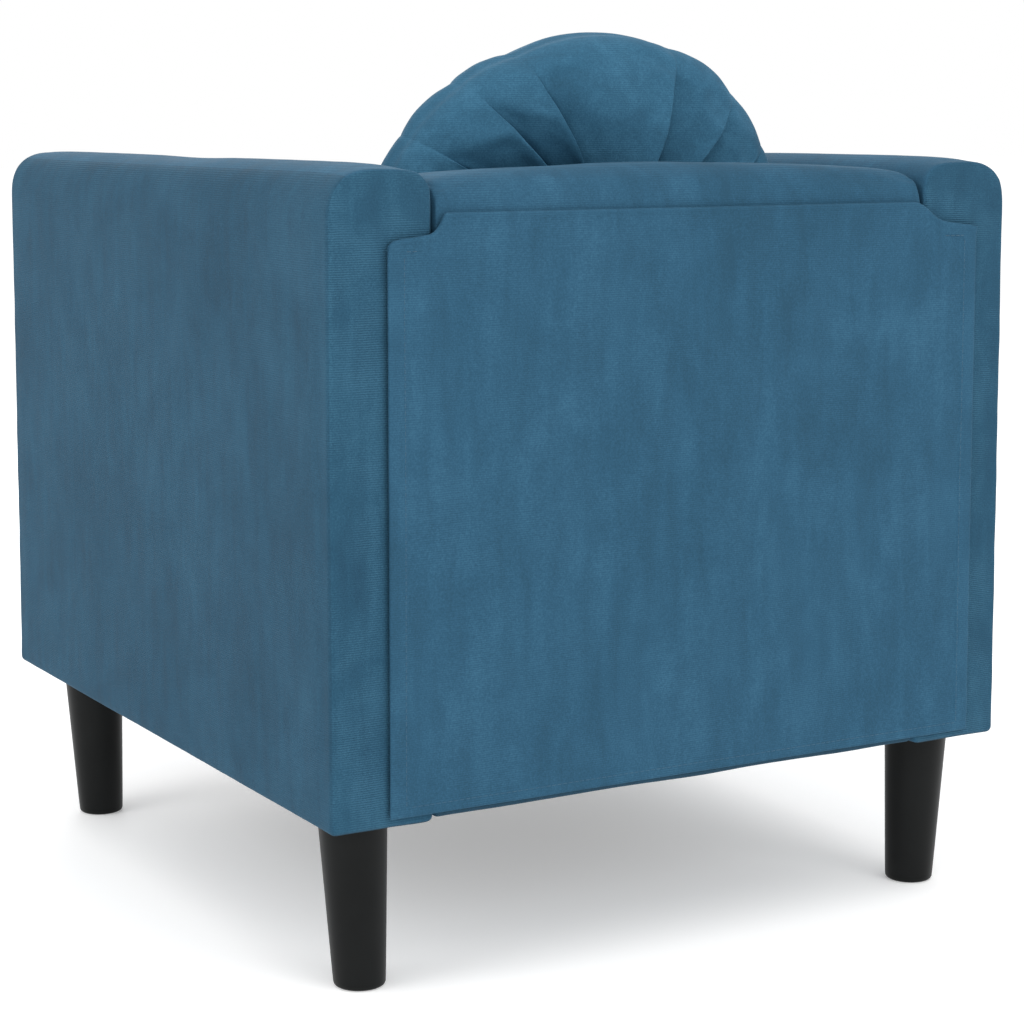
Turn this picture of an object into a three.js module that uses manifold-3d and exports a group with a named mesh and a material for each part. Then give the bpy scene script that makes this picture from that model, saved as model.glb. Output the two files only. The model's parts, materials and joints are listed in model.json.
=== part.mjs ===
// An upholstered club armchair: two slab arms as high as the back, a back and a seat base bolted
// between them, four tapered legs, a loose seat cushion and a loose round pleated cushion.
// A cloth flap, sewn along its top edge, hangs over the whole rear and closes with hook strips.
// Millimetres, +Z up, the sitter faces -Y, and the origin is on the floor under the middle.
import * as THREE from 'three';
import { mergeVertices } from 'three/addons/utils/BufferGeometryUtils.js';
import Module from 'manifold-3d';

const wasm = await Module();
wasm.setup();

// ---- driving dimensions ----
const WIDTH = 700;
const DEPTH = 775;
const ARM_TOP = 695;
const ARM_BOTTOM = 149;
const ARM_THICKNESS = 95;
const GAP = 0.3; // between pieces that touch
const CLOTH = 2; // upholstery cover
const FLAP = 4; // rear flap with its turned hems
const HOOK = 1.4; // hook strip
const BOLT_RADIUS = 4;
const HOLE_RADIUS = 4.6;

const FRONT = -DEPTH / 2;
const REAR = DEPTH / 2;
const BODY_REAR = REAR - FLAP - HOOK - 2 * GAP; // rear face of the arms and the back

const ARM_OUT = WIDTH / 2;
const ARM_IN = ARM_OUT - ARM_THICKNESS;
const ARM_OUT_RADIUS = 34;
const ARM_IN_RADIUS = 22;
const ARM_CROWN = 3;

const LEG = { top: 152.2, topRadius: 30, footRadius: 22.5, footEdge: 3, x: 303, lean: 6, boreDepth: 36 };
LEG.places = { front: FRONT + 99, rear: REAR - 63 };

const BASE = { half: ARM_IN - 3, front: FRONT + 7.5, rear: 244, bottom: 151, top: 272, radius: 18 };
const BACK = { half: ARM_IN - 3, front: 246, topFront: 256, bottom: 151, top: 690, cornerRadius: 20, crown: 8 };
const SEAT = { half: 249.5, front: FRONT + 2.5, rear: 243, bottom: BASE.top + 0.5, top: 422, radius: 16 };
const ROUND = { radius: 213, settled: 0.92, halfThickness: 62, dimple: 34, ring: 80, y: 178, z: 616, lean: 10 };

// ---- materials ----
const material = (color, roughness, metalness = 0) =>
  new THREE.MeshStandardMaterial({ color, roughness, metalness });
const VELVET = material(0x3c6580, 0.85);
const BLACK_PLASTIC = material(0x262828, 0.4);
const PINE = material(0xc9a36b, 0.7);
const PLYWOOD = material(0xb98f5c, 0.7);
const FOAM = material(0xe9e2c6, 0.95);
const FIBRE = material(0xf2f2ee, 0.95);
const STEEL = material(0x9aa0a4, 0.35, 0.9);
const BLACK_CLOTH = material(0x1c1c1e, 0.95);
const NYLON = material(0x22282c, 0.8);

const chair = new THREE.Group();
chair.name = 'armchair';

function add(name, geometry, look, parent = chair) {
  const mesh = new THREE.Mesh(geometry, look);
  mesh.name = name;
  parent.add(mesh);
  return mesh;
}

// ---- shapes ----
function solidOf(geometry) {
  const bare = geometry.clone();
  bare.deleteAttribute('normal');
  bare.deleteAttribute('uv');
  const merged = mergeVertices(bare, 1e-3);
  return new wasm.Manifold(new wasm.Mesh({
    numProp: 3,
    vertProperties: merged.attributes.position.array,
    triVerts: new Uint32Array(merged.index.array),
  }));
}

function geometryOf(solid) {
  const { vertProperties, triVerts } = solid.getMesh();
  const made = new THREE.BufferGeometry();
  made.setAttribute('position', new THREE.BufferAttribute(new Float32Array(vertProperties), 3));
  made.setIndex(new THREE.BufferAttribute(new Uint32Array(triVerts), 1));
  made.computeVertexNormals();
  return made;
}

const cut = (geometry, ...tools) =>
  geometryOf(tools.reduce((left, tool) => left.subtract(solidOf(tool)), solidOf(geometry)));
const join = (geometry, other) => geometryOf(solidOf(geometry).add(solidOf(other)));
const common = (geometry, other) => geometryOf(solidOf(geometry).intersect(solidOf(other)));

function box([x0, x1], [y0, y1], [z0, z1]) {
  const made = new THREE.BoxGeometry(Math.abs(x1 - x0), y1 - y0, z1 - z0);
  return made.translate((x0 + x1) / 2, (y0 + y1) / 2, (z0 + z1) / 2);
}

// A shape drawn in X and Z, pushed along Y from y0 to y1.
function prismY(shape, y0, y1, curveSegments = 8) {
  const made = new THREE.ExtrudeGeometry(shape, { depth: y1 - y0, bevelEnabled: false, curveSegments });
  return made.rotateX(Math.PI / 2).translate(0, y1, 0);
}

// A shape drawn in Y and Z, pushed along X from x0 to x1.
function prismX(shape, x0, x1, curveSegments = 8) {
  const made = new THREE.ExtrudeGeometry(shape, { depth: x1 - x0, bevelEnabled: false, curveSegments });
  const turn = new THREE.Matrix4().makeBasis(
    new THREE.Vector3(0, 1, 0), new THREE.Vector3(0, 0, 1), new THREE.Vector3(1, 0, 0));
  return made.applyMatrix4(turn).translate(x0, 0, 0);
}

function rodX(radius, x0, x1, y, z) {
  const made = new THREE.CylinderGeometry(radius, radius, Math.abs(x1 - x0), 16);
  return made.rotateZ(Math.PI / 2).translate((x0 + x1) / 2, y, z);
}

function rodZ(radius, x, y, z0, z1) {
  const made = new THREE.CylinderGeometry(radius, radius, z1 - z0, 16);
  return made.rotateX(Math.PI / 2).translate(x, y, (z0 + z1) / 2);
}

// A rectangle in the shape's own x and y, with its four corners rounded.
function roundedRectangle(x0, x1, y0, y1, radius) {
  const shape = new THREE.Shape();
  shape.moveTo(x0 + radius, y0);
  shape.lineTo(x1 - radius, y0);
  shape.absarc(x1 - radius, y0 + radius, radius, -Math.PI / 2, 0);
  shape.absarc(x1 - radius, y1 - radius, radius, 0, Math.PI / 2);
  shape.absarc(x0 + radius, y1 - radius, radius, Math.PI / 2, Math.PI);
  shape.absarc(x0 + radius, y0 + radius, radius, Math.PI, 1.5 * Math.PI);
  return shape;
}

// ---- bolts that hold the arms to the seat base and to the back ----
const SEAT_BOLTS = { z: 182, places: { front: -220, rear: 130 }, head: 222.7 };
const BACK_BOLT = { y: 359.5, z: 420, head: 218.7 };
const BOLT = { headRadius: 10, headLength: 5, end: 308 };
const boltHole = (side, y, z) => rodX(HOLE_RADIUS, side * 200, side * (BOLT.end + 3), y, z);
const seatBoltHoles = side => Object.values(SEAT_BOLTS.places).map(y => boltHole(side, y, SEAT_BOLTS.z));
const backBoltHole = side => boltHole(side, BACK_BOLT.y, BACK_BOLT.z);

function bolt(side, head, y, z) {
  const flange = rodX(BOLT.headRadius, side * head, side * (head + BOLT.headLength), y, z);
  return join(flange, rodX(BOLT_RADIUS, side * (head + 1), side * BOLT.end, y, z));
}

// ---- arms ----
const BOARD = 3;
const CORE = { in: ARM_IN + 12, out: ARM_OUT - 12, front: FRONT + 11.5, rear: BODY_REAR - 10.5, top: 664 };
const MEMBER = { in: CORE.in + BOARD + 2 * GAP, out: CORE.out - BOARD - 2 * GAP, thickness: 22 };
const ARM_FRAME = { bottom: 152.5, bottomRail: 50, top: CORE.top - GAP };
const ARM_WINDOW_MARGIN = 14.5; // the cover turns this far under the arm

// The arm's section across the chair: flat sides, a softly crowned top and rounded upper corners.
function armSection(side, inset, bottom) {
  const shape = new THREE.Shape();
  const outer = ARM_OUT - inset;
  const inner = ARM_IN + inset;
  const shoulder = ARM_TOP - inset - ARM_CROWN;
  const outRadius = ARM_OUT_RADIUS - inset;
  const inRadius = ARM_IN_RADIUS - inset;
  shape.moveTo(inner, bottom);
  shape.lineTo(outer, bottom);
  shape.absarc(outer - outRadius, shoulder - outRadius, outRadius, 0, Math.PI / 2);
  shape.quadraticCurveTo((outer + inner) / 2, shoulder + 2 * ARM_CROWN, inner + inRadius, shoulder);
  shape.absarc(inner + inRadius, shoulder - inRadius, inRadius, Math.PI / 2, Math.PI);
  if (side > 0) return shape;
  return new THREE.Shape(shape.getPoints(8).map(p => new THREE.Vector2(-p.x, p.y)));
}

function armCover(side) {
  const outside = prismY(armSection(side, 0, ARM_BOTTOM), FRONT, BODY_REAR);
  const inside = prismY(armSection(side, CLOTH, ARM_BOTTOM + CLOTH), FRONT + CLOTH, BODY_REAR - CLOTH);
  const window = box(
    [side * (ARM_IN + ARM_WINDOW_MARGIN), side * (ARM_OUT - ARM_WINDOW_MARGIN)],
    [FRONT + ARM_WINDOW_MARGIN, BODY_REAR - ARM_WINDOW_MARGIN],
    [ARM_BOTTOM - 1, ARM_BOTTOM + CLOTH + 1]);
  return cut(outside, inside, window, ...seatBoltHoles(side), backBoltHole(side));
}

function armFoam(side) {
  const inset = CLOTH + GAP;
  const bottom = ARM_BOTTOM + inset;
  const outside = prismY(armSection(side, inset, bottom), FRONT + inset, BODY_REAR - inset);
  const core = box([side * CORE.in, side * CORE.out], [CORE.front, CORE.rear], [bottom - 1, CORE.top]);
  return cut(outside, core, ...seatBoltHoles(side), backBoltHole(side));
}

function addArm(side, label) {
  const along = [CORE.front + GAP, CORE.rear - GAP];
  const across = [side * MEMBER.in, side * MEMBER.out];
  const railTop = ARM_FRAME.bottom + ARM_FRAME.bottomRail;
  const railBottom = ARM_FRAME.top - MEMBER.thickness;
  const postHeight = [railTop + GAP, railBottom - GAP];
  const boardHeight = [ARM_FRAME.bottom, ARM_FRAME.top];
  const legBolts = Object.values(LEG.places).map(y => rodZ(HOLE_RADIUS, side * LEG.x, y, 150, 196));

  add(`${label}_arm_bottom_rail`,
    cut(box(across, along, [ARM_FRAME.bottom, railTop]), ...seatBoltHoles(side), ...legBolts), PINE);
  add(`${label}_arm_top_rail`, box(across, along, [railBottom, ARM_FRAME.top]), PINE);
  add(`${label}_arm_front_post`, box(across, [along[0], along[0] + MEMBER.thickness], postHeight), PINE);
  add(`${label}_arm_rear_post`,
    cut(box(across, [along[1] - MEMBER.thickness, along[1]], postHeight), backBoltHole(side)), PINE);
  const innerBoard = box([side * (CORE.in + GAP), side * (CORE.in + GAP + BOARD)], along, boardHeight);
  add(`${label}_arm_inner_board`, cut(innerBoard, ...seatBoltHoles(side), backBoltHole(side)), PLYWOOD);
  add(`${label}_arm_outer_board`,
    box([side * (CORE.out - GAP - BOARD), side * (CORE.out - GAP)], along, boardHeight), PLYWOOD);
  add(`${label}_arm_foam`, armFoam(side), FOAM);
  add(`${label}_arm_cover`, armCover(side), VELVET);
}

// ---- legs: cones whose outer side slants in more than the inner one ----
function leg(side, y) {
  const profile = [
    new THREE.Vector2(0, 0),
    new THREE.Vector2(LEG.footRadius - LEG.footEdge, 0),
    new THREE.Vector2(LEG.footRadius, LEG.footEdge),
    new THREE.Vector2(LEG.topRadius, LEG.top),
    new THREE.Vector2(0, LEG.top),
  ];
  const cone = new THREE.LatheGeometry(profile, 24).rotateX(Math.PI / 2);
  cone.applyMatrix4(new THREE.Matrix4().makeShear(0, 0, 0, 0, side * LEG.lean / LEG.top, 0));
  cone.translate(side * (LEG.x - LEG.lean), y, 0);
  return cut(cone, rodZ(HOLE_RADIUS, side * LEG.x, y, LEG.top - LEG.boreDepth, LEG.top + 1));
}

function addLegs(side, label) {
  for (const [end, y] of Object.entries(LEG.places)) {
    add(`${end}_${label}_leg`, leg(side, y), BLACK_PLASTIC);
    add(`${end}_${label}_leg_bolt`, rodZ(BOLT_RADIUS, side * LEG.x, y, LEG.top - LEG.boreDepth + 2, 194), STEEL);
  }
}

// ---- seat base: a rail frame with zigzag springs, a foam deck and a cloth cover ----
const RAIL = { thickness: 22, bottom: 153.5, top: 239 };
const SPRING = { count: 4, pitch: 104, wire: 1.9, swing: 24, bends: 10, rise: 7, steps: 50, sides: 6 };
const DECK_FOAM = { bottom: 252, frontThickness: 8 };

function baseProfile(inset) {
  const front = BASE.front + inset;
  const rear = BASE.rear - inset;
  const top = BASE.top - inset;
  const radius = BASE.radius - inset;
  const shape = new THREE.Shape();
  shape.moveTo(front, BASE.bottom + inset);
  shape.lineTo(rear, BASE.bottom + inset);
  shape.lineTo(rear, top);
  shape.lineTo(front + radius, top);
  shape.absarc(front + radius, top - radius, radius, Math.PI / 2, Math.PI);
  return shape;
}

function baseCover() {
  const inner = BASE.half - CLOTH;
  const outside = prismX(baseProfile(0), -BASE.half, BASE.half);
  const inside = prismX(baseProfile(CLOTH), -inner, inner);
  const margin = 25;
  const window = box([-BASE.half + margin, BASE.half - margin],
    [BASE.front + margin, BASE.rear - margin], [BASE.bottom - 1, BASE.bottom + CLOTH + 1]);
  return cut(outside, inside, window, ...seatBoltHoles(1), ...seatBoltHoles(-1));
}

function deckFoam() {
  const inset = CLOTH + GAP;
  const half = BASE.half - inset;
  const block = prismX(baseProfile(inset), -half, half);
  const hollow = box([-half - 1, half + 1],
    [BASE.front + inset + DECK_FOAM.frontThickness, BASE.rear], [BASE.bottom, DECK_FOAM.bottom]);
  return cut(block, hollow);
}

// One zigzag spring: a wire that swings from side to side while it runs from front to rear.
function zigzagSpring(x, y0, y1) {
  class Zigzag extends THREE.Curve {
    getPoint(t, target = new THREE.Vector3()) {
      const swing = SPRING.swing * Math.sin(SPRING.bends * Math.PI * t);
      const z = RAIL.top + GAP + SPRING.wire + SPRING.rise * Math.sin(Math.PI * t);
      return target.set(x + swing, y0 + (y1 - y0) * t, z);
    }
  }
  const section = new THREE.Shape();
  section.absarc(0, 0, SPRING.wire, 0, 2 * Math.PI);
  return new THREE.ExtrudeGeometry(section, {
    steps: SPRING.steps, extrudePath: new Zigzag(), curveSegments: SPRING.sides / 2,
  });
}

function addSeatBase() {
  const half = BASE.half - CLOTH - GAP;
  const front = BASE.front + CLOTH + 2 * GAP + DECK_FOAM.frontThickness;
  const rear = BASE.rear - CLOTH - GAP;
  const height = [RAIL.bottom, RAIL.top];
  const between = half - RAIL.thickness - GAP;
  for (const [side, label] of [[1, 'left'], [-1, 'right']]) {
    const rail = box([side * (half - RAIL.thickness), side * half], [front, rear], height);
    add(`seat_${label}_rail`, cut(rail, ...seatBoltHoles(side)), PINE);
    for (const [end, y] of Object.entries(SEAT_BOLTS.places)) {
      add(`seat_${end}_${label}_bolt`, bolt(side, SEAT_BOLTS.head, y, SEAT_BOLTS.z), STEEL);
    }
  }
  add('seat_front_rail', box([-between, between], [front, front + RAIL.thickness], height), PINE);
  add('seat_rear_rail', box([-between, between], [rear - RAIL.thickness, rear], height), PINE);
  for (let i = 0; i < SPRING.count; i++) {
    const x = (i - (SPRING.count - 1) / 2) * SPRING.pitch;
    const reach = RAIL.thickness / 2;
    add(`seat_spring_${i + 1}`, zigzagSpring(x, front + reach, rear - reach), STEEL);
  }
  add('seat_deck_foam', deckFoam(), FOAM);
  add('seat_base_cover', baseCover(), VELVET);
  add('dust_cover', box([-240, 240], [BASE.front + 12, BASE.rear - 12],
    [BASE.bottom - GAP - 0.8, BASE.bottom - GAP]), BLACK_CLOTH);
}

// ---- back ----
const BACK_FRAME = { board: 5.4, boardFront: 320.3, bottom: 153.5, top: 650, rear: BODY_REAR - 5.5, post: 25.4 };
const BACK_WINDOW = { half: 215, bottom: 215, top: 612 };
const BACK_REAR_RADIUS = 40;

// The back's section from front to rear: it leans a little and rolls over at the top.
function backProfile(inset) {
  const bottom = BACK.bottom + inset;
  const top = BACK.top - inset;
  const rear = BODY_REAR - inset;
  const radius = BACK_REAR_RADIUS - inset;
  const rollFront = top - 35 + inset;
  const shape = new THREE.Shape();
  shape.moveTo(BACK.front + inset, bottom);
  shape.lineTo(rear, bottom);
  shape.absarc(rear - radius, top - radius, radius, 0, Math.PI / 2);
  shape.lineTo(BACK.topFront + 40, top);
  shape.quadraticCurveTo(BACK.topFront + inset + 2, top, BACK.topFront + inset, rollFront);
  shape.lineTo(BACK.front + inset, BASE.top);
  return shape;
}

// The back seen from the rear: straight sides, rounded upper corners and a crowned top edge.
function backOutline(inset) {
  const half = BACK.half - inset;
  const shoulder = BACK.top - BACK.crown - inset;
  const radius = BACK.cornerRadius - inset;
  const shape = new THREE.Shape();
  shape.moveTo(-half, BACK.bottom + inset);
  shape.lineTo(half, BACK.bottom + inset);
  shape.absarc(half - radius, shoulder - radius, radius, 0, Math.PI / 2);
  shape.quadraticCurveTo(0, shoulder + 2 * BACK.crown, radius - half, shoulder);
  shape.absarc(radius - half, shoulder - radius, radius, Math.PI / 2, Math.PI);
  return shape;
}

const backBlock = inset => common(
  prismX(backProfile(inset), inset - BACK.half, BACK.half - inset),
  prismY(backOutline(inset), BACK.front - 1, REAR));

function backCover() {
  const rearWindow = box([-BACK_WINDOW.half, BACK_WINDOW.half],
    [BODY_REAR - CLOTH - 1, BODY_REAR + 1], [BACK_WINDOW.bottom, BACK_WINDOW.top]);
  return cut(backBlock(0), backBlock(CLOTH), rearWindow, backBoltHole(1), backBoltHole(-1));
}

function backFoam() {
  const frameSpace = box([-BACK.half, BACK.half],
    [BACK_FRAME.boardFront - GAP, REAR], [BACK.bottom - 1, BACK_FRAME.top + GAP]);
  return cut(backBlock(CLOTH + GAP), frameSpace);
}

function addBack() {
  const half = BACK.half - CLOTH - GAP;
  const height = [BACK_FRAME.bottom, BACK_FRAME.top];
  const postFront = BACK_FRAME.boardFront + BACK_FRAME.board + GAP;
  const between = half - BACK_FRAME.post - GAP;
  const railDepth = [BACK_FRAME.rear - RAIL.thickness, BACK_FRAME.rear];
  for (const [side, label] of [[1, 'left'], [-1, 'right']]) {
    const post = box([side * (half - BACK_FRAME.post), side * half], [postFront, BACK_FRAME.rear], height);
    add(`back_${label}_post`, cut(post, backBoltHole(side)), PINE);
    add(`back_${label}_bolt`, bolt(side, BACK_BOLT.head, BACK_BOLT.y, BACK_BOLT.z), STEEL);
  }
  add('back_top_rail', box([-between, between], railDepth, [610, BACK_FRAME.top]), PINE);
  add('back_bottom_rail', box([-between, between], railDepth, [BACK_FRAME.bottom, 210]), PINE);
  add('back_board', box([-half, half],
    [BACK_FRAME.boardFront, BACK_FRAME.boardFront + BACK_FRAME.board], height), PLYWOOD);
  add('back_foam', backFoam(), FOAM);
  add('back_cover', backCover(), VELVET);
}

// ---- rear flap: a hemmed cloth panel sewn on at its top edge, with an ear over each arm ----
const FLAP_EDGE = { left: 298.5, right: -312, bottom: 158, ear: 638, earOuter: 633, top: 656 };
const FLAP_NOTCH = { left: 246, right: -243 };
const HOOK_STRIP = { width: 25, margin: 3, bottom: 190, top: 612, lowHalf: 225, lowBottom: 162 };

function flapOutline() {
  const shape = new THREE.Shape();
  shape.moveTo(FLAP_EDGE.right, FLAP_EDGE.bottom);
  shape.lineTo(FLAP_EDGE.left, FLAP_EDGE.bottom);
  shape.lineTo(FLAP_EDGE.left, FLAP_EDGE.ear - 8);
  shape.quadraticCurveTo(FLAP_EDGE.left - 2, FLAP_EDGE.ear, FLAP_EDGE.left - 14, FLAP_EDGE.ear);
  shape.lineTo(FLAP_NOTCH.left + 20, FLAP_EDGE.ear);
  shape.quadraticCurveTo(FLAP_NOTCH.left + 2, FLAP_EDGE.ear + 2, FLAP_NOTCH.left, FLAP_EDGE.top);
  shape.lineTo(FLAP_NOTCH.right, FLAP_EDGE.top);
  shape.bezierCurveTo(FLAP_NOTCH.right - 15, FLAP_EDGE.top - 6, FLAP_NOTCH.right - 15,
    FLAP_EDGE.ear + 2, FLAP_NOTCH.right - 30, FLAP_EDGE.ear);
  shape.lineTo(FLAP_EDGE.right, FLAP_EDGE.earOuter);
  return shape;
}

function addRearFlap() {
  add('rear_flap', prismY(flapOutline(), REAR - FLAP, REAR), VELVET);
  const depth = [BODY_REAR + GAP, BODY_REAR + GAP + HOOK];
  const tall = [HOOK_STRIP.bottom, HOOK_STRIP.top];
  const leftOut = FLAP_EDGE.left - HOOK_STRIP.margin;
  const rightOut = FLAP_EDGE.right + HOOK_STRIP.margin;
  add('left_hook_strip', box([leftOut - HOOK_STRIP.width, leftOut], depth, tall), NYLON);
  add('right_hook_strip', box([rightOut, rightOut + HOOK_STRIP.width], depth, tall), NYLON);
  add('bottom_hook_strip', box([-HOOK_STRIP.lowHalf, HOOK_STRIP.lowHalf], depth,
    [HOOK_STRIP.lowBottom, HOOK_STRIP.lowBottom + HOOK_STRIP.width]), NYLON);
}

// ---- loose seat cushion: a boxed cover with a zip in its rear edge, round a foam core ----
const ZIP = { half: 200, bottom: 342, top: 352, slider: 14, tab: 20 };

function seatBlock(inset) {
  const profile = roundedRectangle(SEAT.front + inset, SEAT.rear - inset,
    SEAT.bottom + inset, SEAT.top - inset, SEAT.radius - inset);
  return prismX(profile, inset - SEAT.half, SEAT.half - inset, 4);
}

function zipSlider() {
  const start = 2 - ZIP.half;
  const back = SEAT.rear + GAP;
  const body = box([start, start + ZIP.slider], [back, back + 2], [ZIP.bottom + 1, ZIP.top - 1]);
  const tab = box([start + 4, start + 10], [back + 0.4, back + 1.6], [ZIP.bottom + 2 - ZIP.tab, ZIP.bottom + 2]);
  return join(body, tab);
}

function addSeatCushion() {
  const slot = box([-ZIP.half, ZIP.half], [SEAT.rear - CLOTH - 1, SEAT.rear + 1], [ZIP.bottom, ZIP.top]);
  add('seat_cushion_cover', cut(seatBlock(0), seatBlock(CLOTH), slot), VELVET);
  add('seat_cushion_core', seatBlock(CLOTH + GAP), FOAM);
  add('seat_cushion_zip', box([GAP - ZIP.half, ZIP.half - GAP],
    [SEAT.rear - CLOTH + GAP, SEAT.rear], [ZIP.bottom + GAP, ZIP.top - GAP]), NYLON);
  add('zip_slider', zipSlider(), STEEL);
}

// ---- loose round cushion: a lens, settled under its own weight and drawn in by two buttons ----
const ROUND_BORE = 3.4;
const BUTTON = { radius: 16, height: 8, shank: 2.6, shankLength: 16, lift: 7 };

// Half the cushion's thickness at a distance from its middle.
function roundHalfThickness(r, outer, inset) {
  const { ring, halfThickness, dimple } = ROUND;
  if (r < ring) {
    const rise = Math.sin(Math.PI / 2 * r / ring) ** 2;
    return dimple - inset + (halfThickness - dimple) * rise;
  }
  const share = (r - ring) / (outer - ring);
  return (halfThickness - inset) * Math.sqrt(Math.max(0, 1 - share ** 2.4));
}

function roundBlock(inset) {
  const outer = ROUND.radius - inset;
  const stations = 8;
  const half = [];
  for (let i = 0; i <= stations; i++) {
    const r = outer * Math.sin(Math.PI / 2 * i / stations);
    half.push(new THREE.Vector2(r, i < stations ? roundHalfThickness(r, outer, inset) : 0));
  }
  half[0].x = 0;
  const lower = half.map(p => new THREE.Vector2(p.x, -p.y));
  const lens = new THREE.LatheGeometry([...lower, ...half.slice(0, -1).reverse()], 28);
  return lens.scale(1, 1, ROUND.settled);
}

function button() {
  const { radius, height, shank, shankLength } = BUTTON;
  const dome = new THREE.Shape();
  dome.moveTo(0, -shankLength);
  dome.lineTo(shank, -shankLength);
  dome.lineTo(shank, 0);
  dome.lineTo(radius, 0);
  dome.quadraticCurveTo(radius, height, 0, height);
  return new THREE.LatheGeometry(dome.getPoints(4), 16);
}

function addRoundCushion() {
  const cushion = new THREE.Group();
  cushion.position.set(0, ROUND.y, ROUND.z);
  cushion.rotation.x = Math.PI - THREE.MathUtils.degToRad(ROUND.lean);
  chair.add(cushion);
  const bore = new THREE.CylinderGeometry(ROUND_BORE, ROUND_BORE, 3 * ROUND.halfThickness, 12);
  add('round_cushion_cover', cut(roundBlock(0), roundBlock(CLOTH), bore), VELVET, cushion);
  add('round_cushion_fill', cut(roundBlock(CLOTH + GAP), bore), FIBRE, cushion);
  const seat = ROUND.dimple + BUTTON.lift;
  const front = add('round_cushion_front_button', button(), VELVET, cushion);
  front.position.y = seat;
  const rear = add('round_cushion_rear_button', button(), VELVET, cushion);
  rear.position.y = -seat;
  rear.rotation.x = Math.PI;
}

for (const [side, label] of [[1, 'left'], [-1, 'right']]) {
  addArm(side, label);
  addLegs(side, label);
}
addSeatBase();
addBack();
addRearFlap();
addSeatCushion();
addRoundCushion();

export default chair;
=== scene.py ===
"""The looks of the upholstered armchair: velvet upholstery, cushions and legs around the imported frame.

Lengths are in metres, in the frame's own axes: +Z up, +Y to the chair's rear, +X to the sitter's left.
"""

import json
import math

import bmesh
import bpy
import numpy as np
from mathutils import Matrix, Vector


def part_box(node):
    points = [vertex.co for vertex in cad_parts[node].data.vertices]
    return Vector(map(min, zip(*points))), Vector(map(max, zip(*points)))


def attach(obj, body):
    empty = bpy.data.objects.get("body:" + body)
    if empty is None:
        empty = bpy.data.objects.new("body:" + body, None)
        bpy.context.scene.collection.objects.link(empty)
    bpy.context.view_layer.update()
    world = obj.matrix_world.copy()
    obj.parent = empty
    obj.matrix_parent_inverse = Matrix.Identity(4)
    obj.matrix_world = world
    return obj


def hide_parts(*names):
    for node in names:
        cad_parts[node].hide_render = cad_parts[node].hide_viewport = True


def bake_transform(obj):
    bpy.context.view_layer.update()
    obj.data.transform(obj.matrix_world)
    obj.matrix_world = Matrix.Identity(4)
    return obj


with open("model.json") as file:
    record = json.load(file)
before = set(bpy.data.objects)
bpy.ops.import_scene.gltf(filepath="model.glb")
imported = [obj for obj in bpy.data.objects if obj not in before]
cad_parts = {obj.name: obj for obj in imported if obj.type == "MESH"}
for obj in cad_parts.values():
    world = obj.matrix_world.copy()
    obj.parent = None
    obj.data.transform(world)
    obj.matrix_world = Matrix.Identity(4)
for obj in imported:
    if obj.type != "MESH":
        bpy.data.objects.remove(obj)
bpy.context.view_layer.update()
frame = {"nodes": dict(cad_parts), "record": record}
MM = 0.001
SIDES = (("left", 1), ("right", -1))

# ---- camera, floor and light ----
CAMERA_PLACE = (1.209, 2.160, 0.736)
CAMERA_AZIMUTH = 149.95
CAMERA_TILT = 6.34  # degrees below level
CAMERA_LENS = 87.3
CAMERA_SHIFT = -0.12
LIT_POINT = (0, 0, 0.4)  # what every light faces
LIGHTS = (  # name, place, diameter and watts
    ("overhead", (0.3, 1.4, 2.9), 2.2, 20),
    ("left_softbox", (2.6, 0.2, 1.6), 1.6, 18),
    ("rear_softbox", (-0.9, 3.0, 1.6), 1.6, 18),
    ("front_softbox", (-0.8, -3.0, 2.0), 1.6, 22),
)
FLOOR_REACH = 30
FLOOR_LEVEL = -0.4 * MM
FLOOR_COLOUR = (0.85, 0.85, 0.85, 1)
FLOOR_GLOW = 0.28  # keeps the floor near white in the chair's shadow


def link(obj):
    bpy.context.scene.collection.objects.link(obj)
    return obj


def add_camera():
    data = bpy.data.cameras.new("camera")
    data.lens = CAMERA_LENS
    data.shift_y = CAMERA_SHIFT
    camera = link(bpy.data.objects.new("camera", data))
    azimuth, tilt = math.radians(CAMERA_AZIMUTH), math.radians(CAMERA_TILT)
    ahead = Vector((
        -math.sin(azimuth) * math.cos(tilt),
        math.cos(azimuth) * math.cos(tilt),
        -math.sin(tilt),
    ))
    camera.location = CAMERA_PLACE
    camera.rotation_euler = ahead.to_track_quat("-Z", "Y").to_euler()
    bpy.context.scene.camera = camera


def add_light(name, place, size, power):
    data = bpy.data.lights.new(name, "AREA")
    data.shape = "DISK"
    data.size = size
    data.energy = power
    light = link(bpy.data.objects.new(name, data))
    light.location = place
    light.rotation_euler = (Vector(LIT_POINT) - Vector(place)).to_track_quat("-Z", "Y").to_euler()


def add_studio():
    bpy.context.scene.view_settings.view_transform = "Standard"
    world = bpy.data.worlds.new("studio")
    world.use_nodes = True
    background = world.node_tree.nodes["Background"]
    background.inputs["Color"].default_value = (1, 1, 1, 1)
    background.inputs["Strength"].default_value = 1.0
    bpy.context.scene.world = world
    for light in LIGHTS:
        add_light(*light)
    square = ((-1, -1), (1, -1), (1, 1), (-1, 1))
    corners = [(x * FLOOR_REACH, y * FLOOR_REACH, FLOOR_LEVEL) for x, y in square]
    floor = make_piece("floor", corners, [(0, 1, 2, 3)])
    paint = Look("pale_floor", Base_Color=FLOOR_COLOUR, Roughness=0.9,
                 Emission_Color=(1, 1, 1, 1), Emission_Strength=FLOOR_GLOW)
    floor.data.materials.append(paint.material)


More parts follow.
